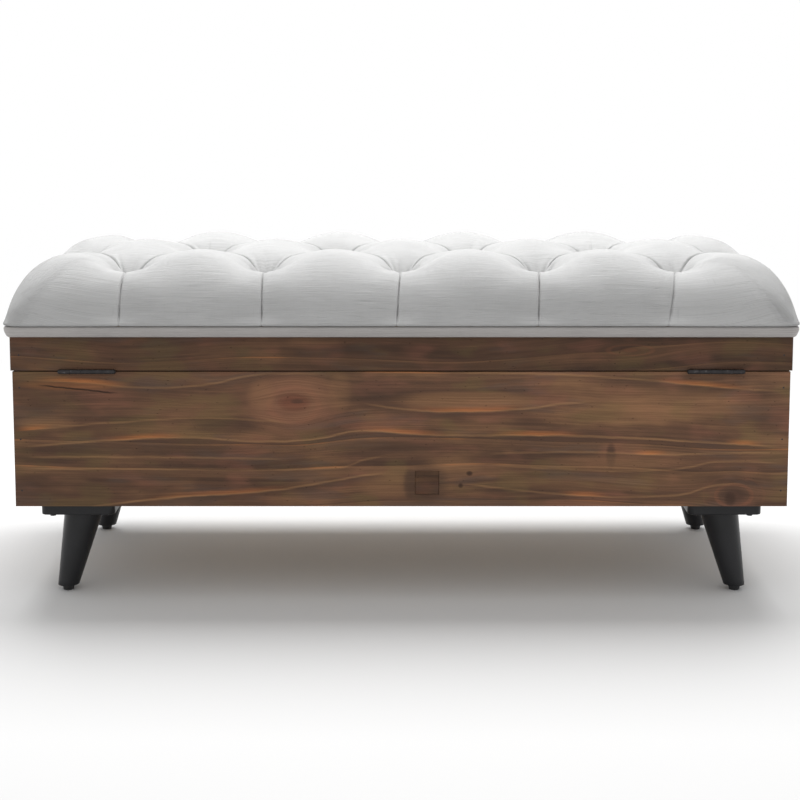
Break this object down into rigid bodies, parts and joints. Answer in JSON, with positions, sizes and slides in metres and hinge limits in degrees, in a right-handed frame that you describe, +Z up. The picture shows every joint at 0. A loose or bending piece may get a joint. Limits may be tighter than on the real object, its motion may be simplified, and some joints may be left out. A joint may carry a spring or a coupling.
{
  "type": "storage bench",
  "caption": "Boarded wooden chest on short splayed legs, with a deep-buttoned padded seat as its hinged lid.",
  "frame": {"origin": "on the floor under the middle of the bench", "axes": "+X along the bench, +Y from the hinge side towards the side that opens, +Z up"},
  "size_m": [1.08, 0.44, 0.48],
  "materials": {
    "wood": "satin",
    "wood_dark": "satin",
    "plywood": "matte",
    "black_paint": "satin",
    "dark_steel": "satin",
    "zinc": "satin",
    "glide_plastic": "satin",
    "felt": "matte",
    "linen": "matte",
    "linen_band": "matte",
    "foam": "matte",
    "wadding": "matte",
    "cord": "matte",
    "lining": "matte"
  },
  "bodies": {
    "box": {"back_panel": "wood", "front_panel": "wood", "left_panel": "wood", "right_panel": "wood", "bottom_panel": "plywood", "panel_patch": "wood_dark", "panel_nails": "dark_steel", "corner_blocks": "wood", "bottom_battens": "wood", "lid_bumpers": "felt", "leg_block_back_left": "black_paint", "leg_block_back_right": "black_paint", "leg_block_front_left": "black_paint", "leg_block_front_right": "black_paint", "leg_back_left": "black_paint", "leg_back_right": "black_paint", "leg_front_left": "black_paint", "leg_front_right": "black_paint", "glide_back_left": "glide_plastic", "glide_back_right": "glide_plastic", "glide_front_left": "glide_plastic", "glide_front_right": "glide_plastic", "hanger_bolts": "zinc", "leg_bolts": "dark_steel", "tee_nuts": "zinc", "left_hinge_box_leaf": "dark_steel", "right_hinge_box_leaf": "dark_steel", "left_hinge_pin": "dark_steel", "right_hinge_pin": "dark_steel", "hinge_box_screws": "dark_steel", "left_stay_stud": "dark_steel", "right_stay_stud": "dark_steel", "stay_stud_screws": "dark_steel"},
    "lid": {"lid_back_rail": "wood", "lid_front_rail": "wood", "lid_left_rail": "wood", "lid_right_rail": "wood", "lid_deck": "plywood", "deck_screws": "zinc", "rail_nails": "dark_steel", "lid_lining": "lining", "seat_foam": "foam", "seat_wadding": "wadding", "seat_cover": "linen", "seat_band": "linen_band", "tuft_buttons": "linen", "tuft_cords": "cord", "tuft_washers": "zinc", "left_hinge_lid_leaf": "dark_steel", "right_hinge_lid_leaf": "dark_steel", "hinge_lid_screws": "dark_steel", "left_stay_bracket": "dark_steel", "right_stay_bracket": "dark_steel", "stay_bracket_screws": "dark_steel"},
    "left_stay": {"left_stay_arm": "dark_steel"},
    "right_stay": {"right_stay_arm": "dark_steel"}
  },
  "joints": [
    {"name": "lid_hinge", "type": "hinge", "parent": "box", "child": "lid", "pos_m": [0, -0.2134, 0.323], "axis": [1, 0, 0], "range_deg": [0, 85]},
    {"name": "left_stay_pivot", "type": "hinge", "parent": "lid", "child": "left_stay", "pos_m": [-0.50525, -0.12887, 0.33188], "axis": [1, 0, 0], "range_deg": [-42.5, 0]},
    {"name": "right_stay_pivot", "type": "hinge", "parent": "lid", "child": "right_stay", "pos_m": [0.50525, -0.12887, 0.33188], "axis": [1, 0, 0], "range_deg": [-42.5, 0]}
  ],
  "couplings": [
    {"joint": "left_stay_pivot", "follows": "lid_hinge", "ratio": -0.5},
    {"joint": "right_stay_pivot", "follows": "lid_hinge", "ratio": -0.5}
  ]
}
